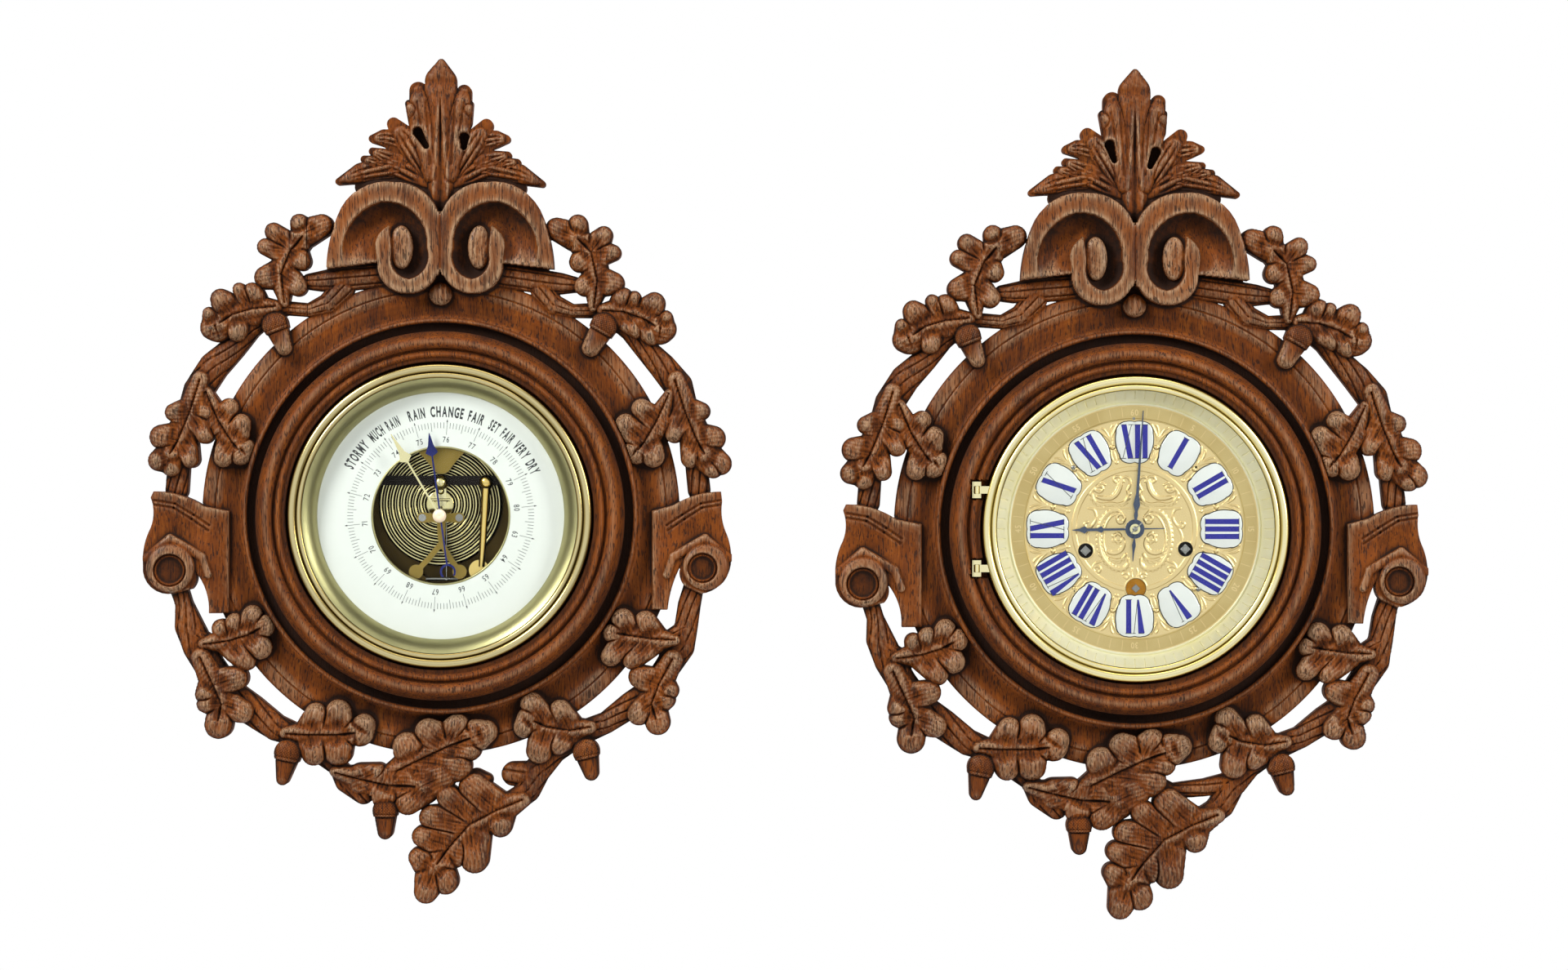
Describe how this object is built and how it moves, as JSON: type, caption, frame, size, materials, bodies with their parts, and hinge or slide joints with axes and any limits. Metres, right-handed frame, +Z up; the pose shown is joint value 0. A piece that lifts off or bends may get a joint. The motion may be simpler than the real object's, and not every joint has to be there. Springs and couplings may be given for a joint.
{
  "type": "barometer and clock pair",
  "caption": "Matched pair of carved oak wall cases: an aneroid barometer with an open centre and a striking clock with enamel hour plates.",
  "frame": {"origin": "centre of the hole in the clock's hanging plate, in the plane of the wall", "axes": "+X to the right, +Z up, +Y into the wall: the dials face -Y"},
  "size_m": [0.9484, 0.098, 0.6357],
  "materials": {
    "carved_oak": "waxed, with a satin sheen",
    "case_wood": "plain oiled wood",
    "glass": "clear, polished",
    "brass": "lacquered, slightly tarnished",
    "gilt_dial": "gilt, stamped with fine scrollwork",
    "blued_steel": "blued and polished",
    "steel": "fine brushed",
    "black_metal": "black lacquer",
    "dial_card": "matt white, printed scale",
    "enamel": "white fired enamel",
    "knob": "turned and pale"
  },
  "bodies": {
    "cases": {"barometer_left_board": "carved_oak", "barometer_centre_board": "carved_oak", "barometer_right_board": "carved_oak", "barometer_ring_moulding": "carved_oak", "barometer_bezel": "brass", "barometer_glass": "glass", "barometer_dial_rim": "brass", "barometer_dial": "dial_card", "barometer_back_frame": "case_wood", "barometer_hanging_plate": "steel", "barometer_drum": "brass", "barometer_base_plate": "black_metal", "barometer_capsule": "brass", "barometer_beam_spring": "steel", "barometer_beam_nut": "brass", "barometer_fan_bracket": "steel", "barometer_side_lever": "steel", "barometer_bridge": "brass", "barometer_bridge_screws": "steel", "barometer_chain": "steel", "clock_left_board": "carved_oak", "clock_centre_board": "carved_oak", "clock_right_board": "carved_oak", "clock_ring_moulding": "carved_oak", "clock_case": "case_wood", "clock_hanging_plate": "steel", "clock_bezel_hinge": "brass", "clock_reflector_ring": "brass", "clock_dial": "gilt_dial", "clock_hour_cartouches": "enamel", "clock_back_plate": "brass", "clock_front_plate": "brass", "clock_bell": "brass"},
    "pressure_pointer": {"barometer_pressure_hand": "blued_steel", "barometer_pointer_arbor": "steel"},
    "rocker": {"barometer_rocker": "steel"},
    "set_pointer": {"barometer_set_hand": "brass", "barometer_set_knob": "knob"},
    "clock_bezel": {"clock_bezel": "brass", "clock_glass": "glass"},
    "back_door": {"clock_back_door": "case_wood"},
    "minute_train": {"clock_minute_hand": "blued_steel", "clock_cannon_pinion": "steel", "clock_centre_wheel": "brass", "clock_hand_collet": "brass"},
    "hour_train": {"clock_hour_hand": "blued_steel", "clock_hour_wheel": "brass"},
    "minute_wheel": {"clock_minute_wheel": "brass"},
    "third_wheel": {"clock_third_wheel": "brass"},
    "escape_wheel": {"clock_escape_wheel": "brass"},
    "time_barrel": {"clock_time_barrel": "brass"},
    "time_winding": {"clock_time_winding_arbor": "steel"},
    "strike_barrel": {"clock_strike_barrel": "brass"},
    "strike_winding": {"clock_strike_winding_arbor": "steel"},
    "strike_wheel": {"clock_strike_wheel": "brass"},
    "hammer": {"clock_hammer": "steel"},
    "anchor": {"clock_anchor": "steel"},
    "pendulum": {"clock_pendulum": "brass"},
    "regulator": {"clock_regulator": "brass"}
  },
  "joints": [
    {"name": "clock_bezel_swing", "type": "hinge", "parent": "cases", "child": "clock_bezel", "pos_m": [-0.1166, -0.094, -0.112], "axis": [0, 0, -1], "range_deg": [0, 110]},
    {"name": "back_door_swing", "type": "hinge", "parent": "cases", "child": "back_door", "pos_m": [-0.088, -0.0016, -0.112], "axis": [0, 0, 1], "range_deg": [0, 60]},
    {"name": "minute_hand_turn", "type": "hinge", "parent": "cases", "child": "minute_train", "pos_m": [0, -0.06, -0.112], "axis": [0, 1, 0], "continuous": true},
    {"name": "hour_hand_turn", "type": "hinge", "parent": "cases", "child": "hour_train", "pos_m": [0, -0.07, -0.112], "axis": [0, 1, 0], "continuous": true},
    {"name": "minute_wheel_turn", "type": "hinge", "parent": "cases", "child": "minute_wheel", "pos_m": [-0.01132, -0.062, -0.10068], "axis": [0, 1, 0], "continuous": true},
    {"name": "third_wheel_turn", "type": "hinge", "parent": "cases", "child": "third_wheel", "pos_m": [0.0165, -0.04, -0.0914], "axis": [0, 1, 0], "continuous": true},
    {"name": "escape_wheel_turn", "type": "hinge", "parent": "cases", "child": "escape_wheel", "pos_m": [0, -0.04, -0.0782], "axis": [0, 1, 0], "continuous": true},
    {"name": "time_barrel_turn", "type": "hinge", "parent": "cases", "child": "time_barrel", "pos_m": [0.0375, -0.04, -0.1268], "axis": [0, 1, 0], "continuous": true},
    {"name": "time_winding_turn", "type": "hinge", "parent": "cases", "child": "time_winding", "pos_m": [0.0375, -0.06, -0.1268], "axis": [0, 1, 0], "continuous": true},
    {"name": "strike_barrel_turn", "type": "hinge", "parent": "cases", "child": "strike_barrel", "pos_m": [-0.036, -0.04, -0.128], "axis": [0, 1, 0], "continuous": true},
    {"name": "strike_winding_turn", "type": "hinge", "parent": "cases", "child": "strike_winding", "pos_m": [-0.036, -0.06, -0.128], "axis": [0, 1, 0], "continuous": true},
    {"name": "strike_wheel_turn", "type": "hinge", "parent": "cases", "child": "strike_wheel", "pos_m": [-0.018, -0.04, -0.09], "axis": [0, 1, 0], "continuous": true},
    {"name": "hammer_lift", "type": "hinge", "parent": "cases", "child": "hammer", "pos_m": [-0.014, -0.033, -0.164], "axis": [0, -1, 0], "range_deg": [0, 12], "stiffness_Nm_per_rad": 0.02},
    {"name": "pendulum_swing", "type": "hinge", "parent": "cases", "child": "pendulum", "pos_m": [0, -0.012, -0.0605], "axis": [0, 1, 0], "range_deg": [-4, 4]},
    {"name": "anchor_rock", "type": "hinge", "parent": "cases", "child": "anchor", "pos_m": [0, -0.04, -0.0605], "axis": [0, 1, 0], "range_deg": [-4, 4]},
    {"name": "regulator_turn", "type": "hinge", "parent": "cases", "child": "regulator", "pos_m": [0.001, -0.07, -0.1558], "axis": [0, 1, 0], "range_deg": [-180, 180]},
    {"name": "pressure_hand_turn", "type": "hinge", "parent": "cases", "child": "pressure_pointer", "pos_m": [-0.5124, -0.048, -0.1024], "axis": [0, 1, 0], "range_deg": [-110, 150]},
    {"name": "rocker_tilt", "type": "hinge", "parent": "cases", "child": "rocker", "pos_m": [-0.5124, -0.034, -0.1496], "axis": [1, 0, 0], "range_deg": [-6, 6]},
    {"name": "set_hand_turn", "type": "hinge", "parent": "cases", "child": "set_pointer", "pos_m": [-0.5124, -0.062, -0.1024], "axis": [0, 1, 0], "continuous": true}
  ],
  "couplings": [
    {"joint": "hour_hand_turn", "follows": "minute_hand_turn", "ratio": 0.083333},
    {"joint": "minute_wheel_turn", "follows": "minute_hand_turn", "ratio": -0.33333},
    {"joint": "third_wheel_turn", "follows": "minute_hand_turn", "ratio": -10},
    {"joint": "escape_wheel_turn", "follows": "minute_hand_turn", "ratio": 146.67},
    {"joint": "time_barrel_turn", "follows": "minute_hand_turn", "ratio": -0.16667},
    {"joint": "strike_wheel_turn", "follows": "strike_barrel_turn", "ratio": -5},
    {"joint": "anchor_rock", "follows": "pendulum_swing", "ratio": 1},
    {"joint": "rocker_tilt", "follows": "pressure_hand_turn", "ratio": 0.04}
  ]
}
